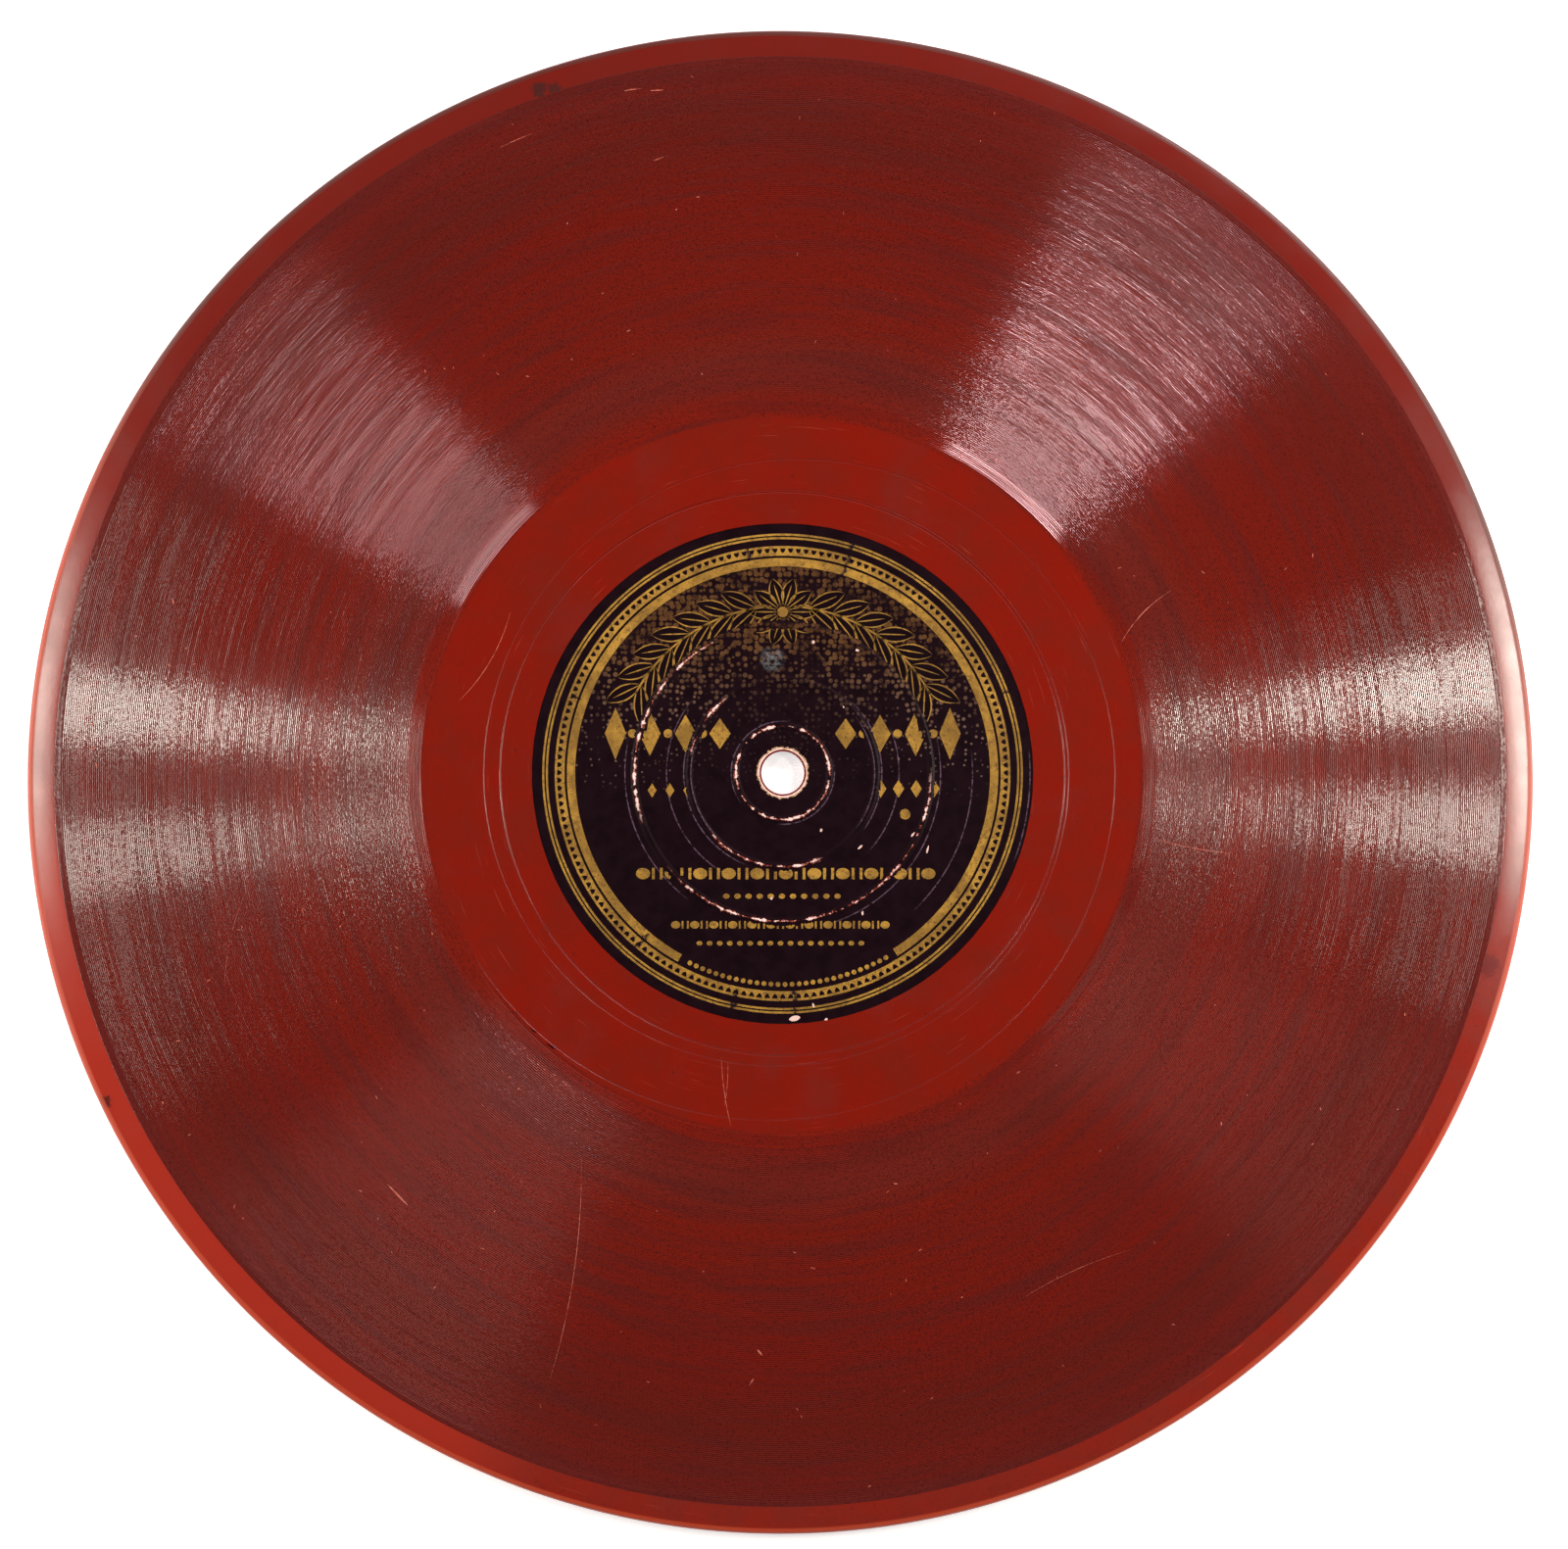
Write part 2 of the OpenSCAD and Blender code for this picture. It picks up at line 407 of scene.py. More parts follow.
def groove_material():
    """Shellac with a recorded groove: streaked along it, and glossy across it in wedges of light."""
    graph = Graph("grooved_shellac")
    at = graph.millimetres()
    radius, unit = graph.polar(at)
    span = {"Value": radius, "From Min": 60.0, "From Max": 122.0}
    place = graph.node("ShaderNodeMapRange", span).outputs[0]
    ground = graph.ramp(place, [
        (0.00, srgb(127, 27, 11)),
        (0.05, srgb(125, 27, 11)),
        (0.09, srgb(112, 31, 20)),
        (0.17, srgb(110, 34, 24)),
        (0.27, srgb(118, 26, 11)),
        (0.62, srgb(113, 23, 10)),
        (0.80, srgb(102, 26, 15)),
        (0.94, srgb(110, 27, 17)),
        (0.97, srgb(104, 28, 21)),
        (1.00, srgb(100, 33, 28)),
    ])
    # Broad dull arcs lie along the groove, under finer streaks and a dark grain.
    arcs = graph.noise(along_groove(graph, at, radius, 34.0, 2.6), detail=2.0, roughness=0.55)
    clouded = graph.mix(graph.smooth(arcs, 0.42, 0.72, 0.0, 0.6), ground, srgb(90, 29, 25))
    streaks = graph.noise(along_groove(graph, at, radius, 24.0, 0.6), detail=3.0, roughness=0.6)
    streaked = graph.mix(graph.smooth(streaks, 0.45, 0.8, 0.0, 0.4), clouded, srgb(84, 24, 20))
    grain = graph.noise(at, 2.0, 3.0, 0.75)
    grained = graph.mix(graph.smooth(grain, 0.47, 0.72, 0.0, 0.85), streaked, srgb(72, 17, 13))
    graph.set(Base_Color=grained, Specular_IOR_Level=0.45)
    # The quiet turns at the inner end are the smoothest, and the loud ones next to them the roughest.
    sounding = graph.smooth(radius, 62.8, 63.3)
    loudness = graph.times(sounding, graph.smooth(radius, 70.0, 84.0, 1.9, 1.0))
    levels = ((0.0, 0.12), (0.046, 0.125), (0.053, 0.172), (0.18, 0.166),
              (0.26, 0.155), (0.6, 0.155), (0.85, 0.16), (1.0, 0.165))
    gloss = graph.ramp(place, [(stop, (level,) * 4) for stop, level in levels])
    roughness = graph.math("ADD", gloss, graph.smooth(streaks, 0.34, 0.66, -0.014, 0.016))
    graph.set(Roughness=roughness, Anisotropic=0.75, Anisotropic_Rotation=0.25)
    tangent = graph.node("ShaderNodeTangent", direction_type="RADIAL", axis="Z").outputs[0]
    graph.set(Tangent=tangent)
    # The recorded sound tilts the groove's walls in and out, and less along it.
    elsewhere = graph.vector("ADD", at, (310.0, 170.0, 0.0))
    swinging, turning = (
        graph.noise(along_groove(graph, where, radius, 0.55, 0.38), detail=1.0, roughness=0.6)
        for where in (at, elsewhere))
    sway = graph.times(graph.smooth(swinging, 0.3, 0.7, -WALL_SWAY, WALL_SWAY), loudness)
    sway = graph.math("ADD", sway, graph.smooth(streaks, 0.3, 0.7, -STREAK_SWAY, STREAK_SWAY))
    lean = graph.times(graph.smooth(turning, 0.3, 0.7, -WALL_LEAN, WALL_LEAN), loudness)
    onward = graph.vector("CROSS_PRODUCT", (0.0, 0.0, 1.0), unit)
    upright = graph.node("ShaderNodeNewGeometry").outputs["Normal"]
    swayed = graph.vector("ADD", upright, graph.vector("MULTIPLY", unit, sway))
    swayed = graph.vector("ADD", swayed, graph.vector("MULTIPLY", onward, lean))
    graph.set(Normal=graph.vector("NORMALIZE", swayed))
    return graph.material


def smooth_material(name, clear, dusty, specular):
    """Shellac without a groove: the run-out, or the margin with its painted reflection and painted
    shade, stains and edge.
    """
    graph = Graph(name)
    at = graph.millimetres()
    radius, unit = graph.polar(at)
    clouds = graph.noise(at, 0.11, 4.0, 0.6)
    ground = graph.mix(graph.smooth(clouds, 0.35, 0.7), clear, dusty)
    dull = graph.noise(at, 0.07, 3.0, 0.6)
    ground = graph.mix(graph.smooth(dull, 0.52, 0.72, 0.0, 0.25), ground, srgb(112, 44, 38))
    grain = graph.noise(at, 1.4, 4.0, 0.7)
    grained = graph.mix(graph.smooth(grain, 0.52, 0.8, 0.0, 0.8), ground, srgb(104, 26, 16))
    hairs = graph.noise(along_groove(graph, at, radius, 9.0, 0.25), detail=2.0, roughness=0.5)
    haired = graph.mix(graph.smooth(hairs, 0.68, 0.78, 0.0, 0.25), grained, srgb(196, 104, 84))
    specks = graph.noise(at, 0.9, 2.0, 0.5)
    specked = graph.mix(graph.smooth(specks, 0.74, 0.78, 0.0, 0.7), haired, srgb(80, 26, 20))
    # The margin has a painted reflection that makes it lighter at the lower left, painted shade that
    # makes it darker at the top, and a stain and smudges.
    outside = graph.smooth(radius, MARGIN_R - RIM_ROOT, MARGIN_R)
    margin_painted_reflection = graph.times(graph.sectors(unit, ((216, 32),)), graph.times(outside, 0.8))
    margin_painted_shade = graph.times(graph.sectors(unit, ((85, 75),)), graph.times(outside, 0.75))
    shown = graph.mix(margin_painted_reflection, specked, srgb(172, 48, 30))
    shown = graph.mix(margin_painted_shade, shown, srgb(108, 25, 16))
    for spot, reach, colour in STAINS:
        away = graph.vector("LENGTH", graph.vector("SUBTRACT", at, (*spot, FACE_Z)))
        uneven = graph.times(graph.math("SUBTRACT", grain, 0.5), reach * 2.0)
        ragged = graph.math("ADD", away, uneven)
        shown = graph.mix(graph.smooth(ragged, reach, reach * 0.6, 0.0, 0.85), shown, srgb(*colour))
    # The round edge is dull, with painted shade that makes it darker at the top, and is lighter
    # elsewhere.
    edge = graph.smooth(radius, EDGE_R - 0.35, EDGE_R + 0.15)
    edge_colour_painted_shade = graph.mix(graph.sectors(unit, ((80, 75),)), srgb(198, 74, 38), srgb(78, 36, 24))
    shown = graph.mix(graph.times(edge, 0.75), shown, edge_colour_painted_shade)
    roughness = graph.math("ADD", graph.smooth(clouds, 0.2, 0.8, 0.16, 0.24), graph.times(edge, 0.25))
    graph.set(Base_Color=shown, Roughness=roughness, Specular_IOR_Level=specular)
    graph.set(Normal=graph.bump(graph.noise(at, 0.9, 3.0, 0.6), 0.008))
    return graph.material


def lead_out_wear_and_highlight_material():
    """The lead-out, pale along its edges: partly rubbed wear and partly a painted highlight where the
    edges catch light.
    """
    graph = Graph("lead_out_wear_and_highlight")
    at = graph.millimetres()
    rubbed = graph.smooth(graph.noise(at, 0.35, 4.0, 0.65), 0.38, 0.62)
    graph.set(Base_Color=graph.mix(rubbed, srgb(160, 58, 42), srgb(240, 150, 132)), Roughness=0.4)
    return graph.material


def paper_material(name, wear_and_sheen, back):
    """Dark printed paper. The wear, from 0 to 1, bares it on the raised rings and round the hole, and
    also sets the strength of the paler arcs, which are partly painted reflection.
    """
    graph = Graph(name)
    at = graph.millimetres()
    if back:
        at = graph.vector("ADD", graph.vector("MULTIPLY", at, (1.0, -1.0, -1.0)), (0.0, 0.0, DISC_T))
    radius, unit = graph.polar(at)
    height = graph.node("ShaderNodeSeparateXYZ", {0: at}).outputs["Y"]
    clouds = graph.noise(at, 0.4, 4.0, 0.6)
    ground = graph.mix(graph.smooth(clouds, 0.3, 0.7), srgb(17, 3, 10), srgb(25, 9, 17))
    # The upper field is printed with dots that close up towards the top.
    strewn = {"Vector": at, "Scale": 1.05, "Randomness": 0.55}
    cells = graph.node("ShaderNodeTexVoronoi", strewn).outputs["Distance"]
    reach = graph.smooth(height, -3.0, 24.0, 0.2, 0.52)
    dots = graph.smooth(graph.math("SUBTRACT", reach, cells), -0.03, 0.08)
    field = graph.times(graph.smooth(height, -5.0, 2.0), graph.smooth(radius, 35.3, 34.6))
    field = graph.times(field, graph.smooth(radius, 10.0, 22.0, 0.15, 1.0))
    rubbed = graph.smooth(graph.noise(at, 0.3, 5.0, 0.7), 0.35, 0.6)
    dots = graph.times(graph.times(dots, field), rubbed)
    tone = graph.mix(graph.smooth(height, 0.0, 24.0), srgb(122, 102, 92), srgb(104, 74, 42))
    shown = graph.mix(graph.times(dots, 0.8), ground, tone)
    # Paler arcs beside the raised rings: partly rubbed wear, partly painted reflection
    flakes = graph.noise(at, 1.1, 5.0, 0.75)
    for ring, sectors in RUBBED_AND_SHEEN_ARCS:
        off = graph.math("ABSOLUTE", graph.math("SUBTRACT", radius, ring))
        line = graph.times(graph.smooth(off, 0.14, 0.05), graph.sectors(unit, sectors))
        line = graph.times(line, graph.smooth(flakes, 0.36, 0.6, 0.0, 0.6 * wear_and_sheen))
        shown = graph.mix(line, shown, srgb(128, 106, 128))
    # Torn through: a reddish fringe and white paper, along the rings and round the hole
    ragged = graph.times(graph.math("SUBTRACT", flakes, 0.5), 1.2)
    uneven = graph.smooth(graph.noise(at, 0.34, 4.0, 0.75), 0.36, 0.66, 0.4, -0.05)
    for ring, sectors in BARE_ARCS:
        off = graph.math("ABSOLUTE", graph.math("SUBTRACT", radius, ring))
        off = graph.math("ADD", graph.math("ADD", off, ragged), uneven)
        part = graph.times(graph.sectors(unit, sectors), wear_and_sheen)
        fringe, bared = graph.smooth(off, 0.38, 0.26), graph.smooth(off, 0.24, 0.13)
        shown = graph.mix(graph.times(fringe, part), shown, srgb(150, 70, 52))
        shown = graph.mix(graph.times(bared, part), shown, srgb(248, 236, 230))
    torn = graph.math("ADD", radius, graph.times(ragged, 1.2))
    fringe, bared = graph.smooth(torn, 4.45, 4.25), graph.smooth(torn, 4.2, 4.05)
    shown = graph.mix(graph.times(fringe, wear_and_sheen), shown, srgb(214, 178, 140))
    shown = graph.mix(graph.times(bared, wear_and_sheen), shown, srgb(240, 228, 222))
    # One grey scuff
    away = graph.vector("LENGTH", graph.vector("SUBTRACT", at, (*SCUFF, LABEL_FLAT_Z)))
    flaked = graph.smooth(flakes, 0.42, 0.6, 0.0, 0.6 * wear_and_sheen)
    scuffed = graph.times(graph.smooth(away, 2.6, 0.8), flaked)
    shown = graph.mix(scuffed, shown, srgb(128, 138, 142))
    graph.set(Base_Color=shown, Roughness=0.35, Specular_IOR_Level=0.15)
    graph.set(Normal=graph.bump(graph.noise(at, 1.6, 4.0, 0.6), 0.012))
    return graph.material


def gold_material():
    """Bronze ink, uneven, with cracks across the border."""
    graph = Graph("gold_ink")
    at = graph.millimetres()
    clouds = graph.noise(at, 0.16, 4.0, 0.6)
    grain = graph.noise(at, 1.3, 4.0, 0.7)
    gold = graph.mix(graph.smooth(clouds, 0.35, 0.65), srgb(138, 108, 44), srgb(186, 148, 60))
    gold = graph.mix(graph.smooth(grain, 0.42, 0.72), gold, srgb(112, 84, 40))
    worn = graph.smooth(graph.noise(at, 2.6, 3.0, 0.7), 0.6, 0.7)
    gold = graph.mix(graph.times(worn, 0.75), gold, srgb(42, 25, 25))
    ragged = graph.times(graph.math("SUBTRACT", grain, 0.5), 3.0)
    for azimuth, inner, outer in CRACKS:
        turn = math.radians(azimuth)
        off = graph.vector("DOT_PRODUCT", at, (-math.sin(turn), math.cos(turn), 0.0))
        off = graph.math("ABSOLUTE", graph.math("ADD", off, ragged))
        ahead = graph.vector("DOT_PRODUCT", at, (math.cos(turn), math.sin(turn), 0.0))
        past, before = graph.smooth(ahead, inner, inner + 0.4), graph.smooth(ahead, outer, outer - 0.4)
        crack = graph.times(graph.smooth(off, 0.45, 0.15), graph.times(past, before))
        gold = graph.mix(crack, gold, srgb(34, 18, 22))
    graph.set(Base_Color=gold, Roughness=0.45, Specular_IOR_Level=0.3)
    return graph.material


def dark_ink_material():
    """The paper's own dark colour, printed under the leaves."""
    graph = Graph("dark_ink")
    at = graph.millimetres()
    clouds = graph.noise(at, 0.4, 4.0, 0.6)
    graph.set(Base_Color=graph.mix(graph.smooth(clouds, 0.3, 0.7), srgb(15, 3, 9), srgb(22, 8, 15)))
    graph.set(Roughness=0.35, Specular_IOR_Level=0.15)
    return graph.material


def bare_material():
    """Torn paper, nearly white."""
    graph = Graph("bare_paper")
    at = graph.millimetres()
    fibres = graph.noise(at, 2.0, 4.0, 0.7)
    graph.set(Base_Color=graph.mix(fibres, srgb(250, 240, 232), srgb(226, 176, 160)), Roughness=0.7)
    return graph.material


def scratch_material():
    """Scraped shellac, pale red, that fades in and out of the ground."""
    graph = Graph("scraped_shellac")
    at = graph.millimetres()
    broken = graph.smooth(graph.noise(at, 0.7, 4.0, 0.7), 0.36, 0.6)
    graph.set(Base_Color=graph.mix(broken, srgb(134, 42, 28), srgb(206, 116, 96)), Roughness=0.6)
    return graph.material


def floor_material():
    """Pale floor that reads as white and still takes the disc's shadow."""
    graph = Graph("pale_floor")
    seen = graph.node("ShaderNodeLightPath").outputs
    direct = graph.math("MAXIMUM", seen["Is Camera Ray"], seen["Is Glossy Ray"])
    shown = graph.math("MAXIMUM", direct, seen["Is Transmission Ray"])
    graph.set(Base_Color=(0.9, 0.9, 0.9, 1.0), Roughness=0.9, Specular_IOR_Level=0.0)
    graph.set(Emission_Color=(1.0, 1.0, 1.0, 1.0), Emission_Strength=graph.times(shown, FLOOR_GLOW))
    return graph.material


def mesh_object(name, points, faces, smooth=True):
    """A new object from points in millimetres and faces of four corners each."""
    faces = np.asarray(faces, np.int32)
    mesh = bpy.data.meshes.new(name)
    mesh.vertices.add(len(points))
    mesh.vertices.foreach_set("co", (np.asarray(points) * MM).astype(np.float32).ravel())
    mesh.loops.add(faces.size)
    mesh.loops.foreach_set("vertex_index", faces.ravel())
    mesh.polygons.add(len(faces))
    mesh.polygons.foreach_set("loop_start", np.arange(0, faces.size, faces.shape[1], dtype=np.int32))
    mesh.update(calc_edges=True)
    mesh.validate()
    mesh.polygons.foreach_set("use_smooth", np.full(len(faces), smooth))
    piece = bpy.data.objects.new(name, mesh)
    bpy.context.scene.collection.objects.link(piece)
    return piece


def revolve(name, profile, segments):
    """A closed ring from a closed outline of (radius, height) points."""
    outline = np.asarray(profile, float)
    angles = np.arange(segments) * (2 * math.pi / segments)
    across = np.outer(np.cos(angles), outline[:, 0])
    along = np.outer(np.sin(angles), outline[:, 0])
    height = np.broadcast_to(outline[:, 1], across.shape)
    points = np.stack([across, along, height], 2).reshape(-1, 3)
    count = len(outline)
    turn, step = np.meshgrid(np.arange(segments), np.arange(count), indexing="ij")
    next_turn, next_step = (turn + 1) % segments, (step + 1) % count
    corners = ((turn, step), (next_turn, step), (next_turn, next_step), (turn, next_step))
    faces = np.stack([(t * count + s).ravel() for t, s in corners], 1)
    return mesh_object(name, points, faces)


def recorded_band(name, material, back):
    """One face's spiral groove, cut in a ring that fills half of the disc's thickness.

    The needle's path swings from side to side, as a recording does, but not in its quiet
    first and last turns.
    """
    turns = int((GROOVE_START_R - BAND_INNER_R) / GROOVE_PITCH)
    count = turns * TURN_STEPS + 1
    step = np.arange(count)
    angle = GROOVE_START_ANGLE + step * (2 * math.pi / TURN_STEPS)
    turn = step / TURN_STEPS
    loud = np.clip(np.minimum(turn, turns - turn) / QUIET_TURNS - 0.5, 0.0, 1.0)
    draw = np.random.default_rng(BAND_SEED + back)
    plain = GROOVE_START_R - turn * GROOVE_PITCH
    valley_r = plain + SWING * loud * draw.normal(size=count)
    crest_r = plain + GROOVE_PITCH / 2 + SWING * loud * draw.normal(size=count)
    valley_z = DISC_T - GROOVE_DEPTH * np.clip(step / FADE_STEPS, 0.0, 1.0)
    crest_z = DISC_T - GROOVE_DEPTH * np.clip((step - count + FADE_STEPS) / FADE_STEPS, 0.0, 1.0)

    def spiral(radius, height, around=angle):
        return np.stack([radius * np.cos(around), radius * np.sin(around), height], 1)

    def loop(radius, height):
        return spiral(radius, np.full(TURN_STEPS, height), angle[:TURN_STEPS])

    outer_r, inner_r = MARGIN_R - BAND_GAP, BAND_INNER_R - BAND_LAP
    rows = [
        spiral(crest_r, crest_z),
        spiral(valley_r, valley_z),
        loop(outer_r, DISC_T - SHOULDER_DROP),
        loop(MARGIN_R - LIP_IN, DISC_T - LIP_DROP),
        loop(inner_r, DISC_T - GROOVE_DEPTH),
        loop(outer_r, MID_Z),
        loop(inner_r, MID_Z),
    ]
    starts = np.cumsum([0] + [len(row) for row in rows])
    crest, valley, shoulder, lip, inner, under_outer, under_inner = starts[:-1]
    i = np.arange(TURN_STEPS)
    after = (i + 1) % TURN_STEPS
    j = step[:-1]
    k = step[:-1 - TURN_STEPS]
    last = (turns - 1) * TURN_STEPS
    quads = [
        (crest + j, crest + j + 1, valley + j + 1, valley + j),
        (valley + k, valley + k + 1, crest + k + 1 + TURN_STEPS, crest + k + TURN_STEPS),
        (lip + i, lip + after, crest + i + 1, crest + i),
        (shoulder + i, shoulder + after, lip + after, lip + i),
        (valley + last + i, valley + last + i + 1, inner + after, inner + i),
        (under_outer + i, under_outer + after, shoulder + after, shoulder + i),
        (inner + i, inner + after, under_inner + after, under_inner + i),
        (under_inner + i, under_inner + after, under_outer + after, under_outer + i),
    ]
    points = np.concatenate(rows)
    faces = np.concatenate([np.stack(quad, 1) for quad in quads])
    # On the map the top lies flat, and the hidden sides are small rings inside the free middle.
    places = points[:, :2] * (MAP_REACH / DISC_R)
    unit = points[:, :2] / np.hypot(points[:, 0], points[:, 1])[:, None]
    hidden = np.zeros(len(points))
    for start, reach in ((shoulder, MAP_SHOULDER), (under_outer, MAP_UNDER_OUTER),
                         (under_inner, MAP_UNDER_INNER), (inner, MAP_INNER)):
        hidden[start:start + TURN_STEPS] = reach
    corners = places[faces]
    sides = len(faces) - 3 * TURN_STEPS
    corners[sides:] = (unit * hidden[:, None])[faces[sides:]]
    if back:
        points = points * (1.0, -1.0, -1.0) + (0.0, 0.0, DISC_T)
    piece = mesh_object(name, points, faces)
    piece.data.set_sharp_from_angle(angle=math.radians(SHARP_ANGLE))
    layer = piece.data.uv_layers.new(name="OFBake")
    layer.data.foreach_set("uv", (corners + 0.5).astype(np.float32).ravel())
    piece.data.materials.append(material)
    return piece


def middle(smooth, worn):
    """The frame's own disc inside the bands: run-out, lead-out groove, label seats and hole."""
    mesh = bpy.data.meshes.new("middle")
    work = bmesh.new()
    work.from_mesh(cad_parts["shellac_disc"].data)
    outside = [face for face in work.faces if face.calc_center_median().xy.length > BAND_INNER_R * MM]
    bmesh.ops.delete(work, geom=outside, context="FACES")
    for face in work.faces:
        reach = face.calc_center_median().xy.length / MM
        slanted = WALL_STEEP < abs(face.normal.z) < WALL_FLAT
        # The lead-out's walls take the pale material: rubbed wear together with a painted highlight
        face.material_index = int(slanted and reach > LEAD_OUT_R)
    work.to_mesh(mesh)
    work.free()
    mesh.materials.clear()
    mesh.materials.append(smooth)
    mesh.materials.append(worn)
    piece = bpy.data.objects.new("middle", mesh)
    bpy.context.scene.collection.objects.link(piece)
    return piece


def rim(smooth):
    """The smooth margin on both faces and the round edge between them."""
    half = FACE_Z - MID_Z
    round_r = half - MARGIN_DROP
    turn_r = DISC_R - round_r
    top = [(MARGIN_R + out, half - down) for out, down in MARGIN_START]
    # The margin falls away faster and faster towards the edge.
    slope = []
    for share in MARGIN_SHARES:
        fall = MARGIN_DROP * (MARGIN_EVEN + (1 - MARGIN_EVEN) * share) * share
        slope.append((MARGIN_R + share * (turn_r - MARGIN_R), half - fall))
    angles = np.radians(np.linspace(EDGE_STEEP, -EDGE_STEEP, RIM_STEPS))
    edge = [(turn_r + round_r * math.cos(a), round_r * math.sin(a)) for a in angles]
    upper = top + slope
    lower = [(r, -z) for r, z in reversed(upper)]
    outline = [(r, MID_Z + z) for r, z in upper + edge + lower]
    piece = revolve("rim", outline[::-1], RIM_SEGMENTS)
    piece.data.materials.append(smooth)
    return piece


class Sheet:
    """Flat shapes on a surface, gathered into one mesh. Each takes two shares and gives x and y."""

    def __init__(self):
        self.points = []
        self.faces = []

    def patch(self, shape, along=1, across=1):
        start = len(self.points)
        row = across + 1
        for i in range(along + 1):
            for k in range(across + 1):
                self.points.append(shape(i / along, k / across))
        for i in range(along):
            for k in range(across):
                corner = start + i * row + k
                self.faces.append((corner, corner + 1, corner + row + 1, corner + row))

    def build(self, name, height, material, back=False, skip=()):
        """Lays the shapes at a height, without the faces that would cross a raised ring."""
        flat = np.array(self.points, float)
        faces = np.array(self.faces)
        corners = flat[faces]
        reach = np.hypot(*corners.mean(1).T)
        for ring in skip:
            kept = np.abs(reach - ring) > RIDGE_REACH
            faces, corners, reach = faces[kept], corners[kept], reach[kept]
        one, two = corners[:, 2] - corners[:, 0], corners[:, 3] - corners[:, 1]
        turned = one[:, 0] * two[:, 1] - one[:, 1] * two[:, 0] < 0
        faces[turned] = faces[turned][:, ::-1]
        points = np.column_stack([flat, np.full(len(flat), height)])
        if back:
            points = points * (1.0, -1.0, -1.0) + (0.0, 0.0, DISC_T)
        piece = mesh_object(name, points, faces)
        piece.data.materials.append(material)
        return piece


def polar_point(radius, azimuth):
    turn = math.radians(azimuth)
    return radius * math.cos(turn), radius * math.sin(turn)


def arc(inner, outer, start, end):
    def place(along, across):
        return polar_point(inner + (outer - inner) * across, start + (end - start) * along)
    return place


def lens(x, y, azimuth, length, width, swell=0.8, low=-1.0, high=1.0):
    """A leaf, or a lozenge where swell is 0, with its foot at x and y.

    Low and high bound the share of its width that is filled.
    """
    turn = math.radians(azimuth)
    cos, sin = math.cos(turn), math.sin(turn)

    def place(along, across):
        fullness = math.sin(math.pi * along) ** swell if swell else 1 - abs(2 * along - 1)
        side = width / 2 * fullness * (low + (high - low) * across)
        ahead = length * along
        return x + ahead * cos - side * sin, y + ahead * sin + side * cos
    return place


def dot(x, y, radius, stretch=1.0):
    def place(along, across):
        turn = 2 * math.pi * along
        return x + radius * across * stretch * math.cos(turn), y + radius * across * math.sin(turn)
    return place


def bar(x, y, width, height):
    return lambda along, across: (x + (along - 0.5) * width, y + (across - 0.5) * height)


def leaf(gold, dark, x, y, azimuth, length, width):
    """A dark leaf with a gold outline and a gold midrib."""
    dark.patch(lens(x, y, azimuth, length, width), 14, 8)
    for low, high in ((-1.0, -LEAF_EDGE), (LEAF_EDGE, 1.0)):
        gold.patch(lens(x, y, azimuth, length, width, low=low, high=high), 14)
    gold.patch(lens(x, y, azimuth, length * MIDRIB_SHARE, MIDRIB_W), 10)


def bead_row(gold, y, start, end, bead, barred):
    """Beads in a row, with a pair of thin bars between each two of them if it is barred."""
    step = bead * (BARRED_STEP if barred else PLAIN_STEP)
    count = int((end - start) / step)
    for number in range(count + 1):
        x = start + number * step
        gold.patch(dot(x, y, bead / 2 * BEAD_H, BEAD_STRETCH), 14, 2)
        if barred and number < count:
            for aside in (-BAR_ASIDE, BAR_ASIDE):
                gold.patch(bar(x + step * (0.5 + aside), y, bead * BAR_W, bead * BEAD_H), 1, 3)


def tooth_gap(number):
    """The gold between two teeth of the border."""
    def place(along, across):
        half = TOOTH_HALF * math.sqrt(1 - (1 - across) ** 2) ** TOOTH_CURVE
        start = number * 360 / TEETH + half
        end = (number + 1) * 360 / TEETH - half
        return polar_point(TOOTH_FOOT_R + TOOTH_H * across, start + (end - start) * along)
    return place


def print_border(gold):
    """Rules, teeth, a broad ring and the beads in its opening."""
    for inner, outer in RULES:
        gold.patch(arc(inner, outer, 0, 360), 360)
    for number in range(TEETH):
        gold.patch(tooth_gap(number), 2, 5)
    gold.patch(arc(*BROAD_RING, *BROAD_SPAN), 300, 2)
    for number in range(OPENING_BEADS):
        x, y = polar_point(OPENING_R, OPENING_START + number * OPENING_STEP)
        gold.patch(dot(x, y, OPENING_BEAD_R), 10, 1)


def print_laurel(gold, dark):
    """Two branches of leaves, mirrored, and a rosette between them."""
    for mirrored in (False, True):
        for number in range(LAUREL_PAIRS):
            azimuth = LAUREL_START - number * LAUREL_STEP
            x, y = polar_point(LAUREL_R, azimuth)
            for lean, length in LAUREL_LEAVES:
                heading = azimuth - 90 + lean
                place = (-x, y, 180 - heading) if mirrored else (x, y, heading)
                leaf(gold, dark, *place, length, LAUREL_LEAF_W)
        stem = [180 - azimuth if mirrored else azimuth for azimuth in STEM_SPAN]
        gold.patch(arc(LAUREL_R - STEM_HALF, LAUREL_R + STEM_HALF, *stem), 60)
    for number in range(PETALS):
        turn = number * 360 / PETALS
        x, y = polar_point(PETAL_FOOT_R, turn)
        leaf(gold, dark, x, ROSETTE_Y + y, turn, PETAL_L, PETAL_W)
    gold.patch(dot(0.0, ROSETTE_Y, ROSETTE_EYE_R), 16, 2)


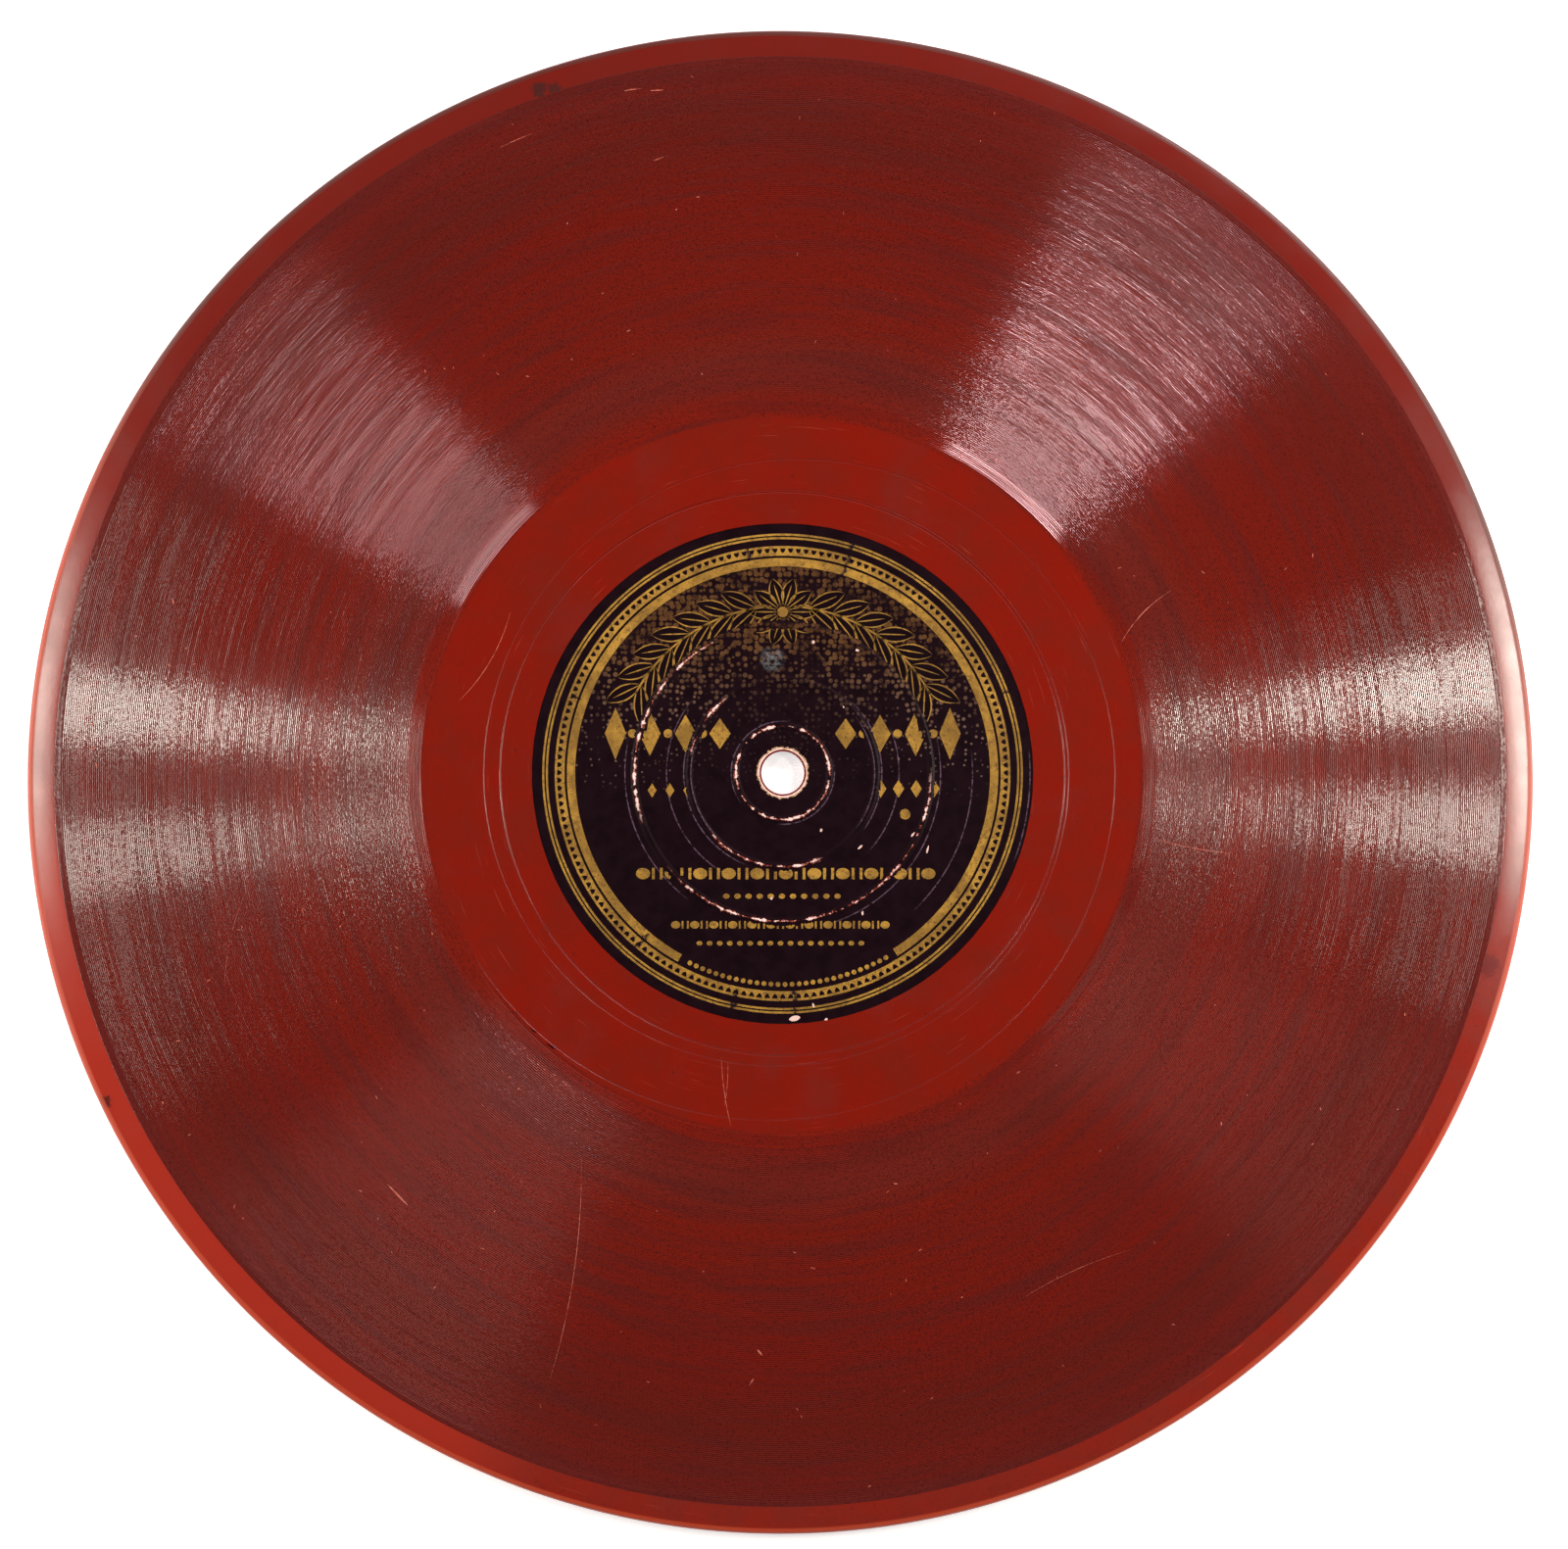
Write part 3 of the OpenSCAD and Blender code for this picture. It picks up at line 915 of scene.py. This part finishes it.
def print_rows(gold):
    """Large lozenges with dots between them, small lozenges, and rows of beads."""
    last_x = LOZENGES[-1][0]
    for x, tall in LOZENGES:
        for sign in (1, -1):
            foot = LOZENGE_Y - tall / 2
            gold.patch(lens(sign * x, foot, 90, tall, LOZENGE_W, swell=0), 18, 6)
            if x < last_x:
                gold.patch(dot(sign * (x + BETWEEN_X), LOZENGE_Y, BETWEEN_R), 14, 2)
    for number in range(SMALL_LOZENGE_COUNT):
        for start, step, tall, wide in SMALL_LOZENGES:
            foot = (start + step * number, SMALL_LOZENGE_Y)
            gold.patch(lens(*foot, 90, tall, wide, swell=0), 10, 4)
    gold.patch(dot(*LONE_DOT), 14, 3)
    for row in BEAD_ROWS:
        bead_row(gold, *row)


def print_label(side, gold_ink, dark_ink, back):
    """A made-up print in gold and dark ink, laid on one label."""
    gold, dark = Sheet(), Sheet()
    print_border(gold)
    print_laurel(gold, dark)
    print_rows(gold)
    layers = ((dark, "leaves", LEAF_LIFT, dark_ink), (gold, "print", INK_LIFT, gold_ink))
    for sheet, name, lift, ink in layers:
        piece = sheet.build(side + "_" + name, LABEL_FLAT_Z + lift, ink, back, RIDGE_RADII)
        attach(piece, "root")


def wear_marks(scraped, bare):
    """Scratches and nicks in the front face, and flecks of white paper on its label."""
    grooved, plain, paper = Sheet(), Sheet(), Sheet()
    for start, end, width, bow in SCRATCHES:
        start, end = np.array(start), np.array(end)
        side = np.array((start[1] - end[1], end[0] - start[0])) / np.linalg.norm(end - start)

        def stroke(along, across, start=start, end=end, side=side, width=width, bow=bow):
            taper = width * math.sqrt(math.sin(math.pi * min(max(along, 0.02), 0.98)))
            aside = 4 * bow * along * (1 - along) + (across - 0.5) * taper
            return tuple(start + (end - start) * along + side * aside)
        on_band = np.linalg.norm((start + end) / 2) > BAND_INNER_R
        (grooved if on_band else plain).patch(stroke, 16)
    draw = np.random.default_rng(NICK_SEED)
    for _ in range(NICKS):
        x, y = polar_point(draw.uniform(*NICK_RADII), draw.uniform(0, 360))
        length, width = draw.uniform(*NICK_LENGTHS), draw.uniform(*NICK_WIDTHS)
        grooved.patch(lens(x, y, draw.uniform(0, 180), length, width, swell=0.6), 4, 1)
    for x, y, azimuth, length, width in FLECKS:
        paper.patch(lens(x, y, azimuth, length, width, swell=0.6), 8, 2)
    return [
        (grooved.build("band_scratches", DISC_T - BAND_MARK_DROP, scraped), "shellac"),
        (plain.build("run_out_scratches", FACE_Z + RUN_OUT_MARK_LIFT, scraped), "shellac"),
        (paper.build("label_flecks", LABEL_FLAT_Z + FLECK_LIFT, bare), "front_paper"),
    ]


def area_lamp(name, azimuth, elevation, distance, size, power, colour):
    """A soft lamp that looks at the middle of the disc."""
    light = bpy.data.lights.new(name, "AREA")
    light.shape = "RECTANGLE"
    light.size, light.size_y = size
    light.energy = power
    light.color = colour
    lamp = bpy.data.objects.new(name, light)
    bpy.context.scene.collection.objects.link(lamp)
    turn, rise = math.radians(azimuth), math.radians(elevation)
    away = Vector((math.cos(rise) * math.cos(turn), math.cos(rise) * math.sin(turn), math.sin(rise)))
    lamp.location = away * distance
    lamp.rotation_euler = away.to_track_quat("Z", "Y").to_euler()


def camera():
    """Looks almost straight down, a little from below and left, as the photograph does."""
    tilt, side = math.radians(CAMERA_TILT), math.radians(CAMERA_SIDE)
    back = Vector((-math.sin(tilt) * math.sin(side), -math.sin(tilt) * math.cos(side), math.cos(tilt)))
    right = Vector((0.0, 1.0, 0.0)).cross(back).normalized()
    up = back.cross(right)
    place = Matrix((right, up, back)).transposed().to_4x4()
    place.translation = back * CAMERA_DISTANCE + Vector((0.0, 0.0, DISC_T * MM))
    optics = bpy.data.cameras.new("camera")
    optics.sensor_width = SENSOR_W
    optics.lens = SENSOR_W * CAMERA_DISTANCE / VIEW_WIDTH
    optics.shift_x, optics.shift_y = (shift / IMAGE_W for shift in CENTRE_SHIFT)
    seen_from = bpy.data.objects.new("camera", optics)
    seen_from.matrix_world = place
    bpy.context.scene.collection.objects.link(seen_from)
    bpy.context.scene.camera = seen_from


def sky():
    """White light, strong near the horizon and faint overhead."""
    world = bpy.data.worlds.new("studio")
    bpy.context.scene.world = world
    world.use_nodes = True
    nodes, links = world.node_tree.nodes, world.node_tree.links
    direction = nodes.new("ShaderNodeTexCoord").outputs["Generated"]
    height = nodes.new("ShaderNodeSeparateXYZ")
    links.new(direction, height.inputs[0])
    fade = nodes.new("ShaderNodeMapRange")
    fade.interpolation_type = "SMOOTHSTEP"
    for key, value in SKY_FADE.items():
        fade.inputs[key].default_value = value
    links.new(height.outputs["Z"], fade.inputs["Value"])
    links.new(fade.outputs[0], nodes["Background"].inputs["Strength"])
    nodes["Background"].inputs["Color"].default_value = (1.0, 1.0, 1.0, 1.0)


def studio():
    """A pale floor, the sky and the lamps whose reflections make the wedges of light."""
    reach = FLOOR_R / MM
    corners = [(x * reach, y * reach, FLOOR_Z) for x, y in ((-1, -1), (1, -1), (1, 1), (-1, 1))]
    floor = mesh_object("floor", corners, [(0, 1, 2, 3)])
    floor.data.materials.append(floor_material())
    sky()
    for lamp in LAMPS:
        area_lamp(*lamp)
    bpy.context.scene.view_settings.view_transform = "Standard"


groove = groove_material()
run_out = smooth_material("smooth_shellac", srgb(131, 21, 3), srgb(120, 25, 8), 0.5)
margin = smooth_material("margin_shellac", srgb(141, 32, 16), srgb(130, 36, 22), 0.75)
shellac = [
    recorded_band("front_band", groove, False),
    recorded_band("back_band", groove, True),
    middle(run_out, lead_out_wear_and_highlight_material()),
    rim(margin),
]
for piece in shellac:
    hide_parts("shellac_disc")
    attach(piece, "root")
gold_ink, dark_ink = gold_material(), dark_ink_material()
for side, wear_and_sheen in (("front", 1.0), ("back", 0.5)):
    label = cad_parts[side + "_label"]
    label.material_slots[0].link = "OBJECT"
    label.material_slots[0].material = paper_material(side + "_paper", wear_and_sheen, side == "back")
    print_label(side, gold_ink, dark_ink, side == "back")
for piece, slot in wear_marks(scratch_material(), bare_material()):
    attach(piece, "root")
camera()
studio()
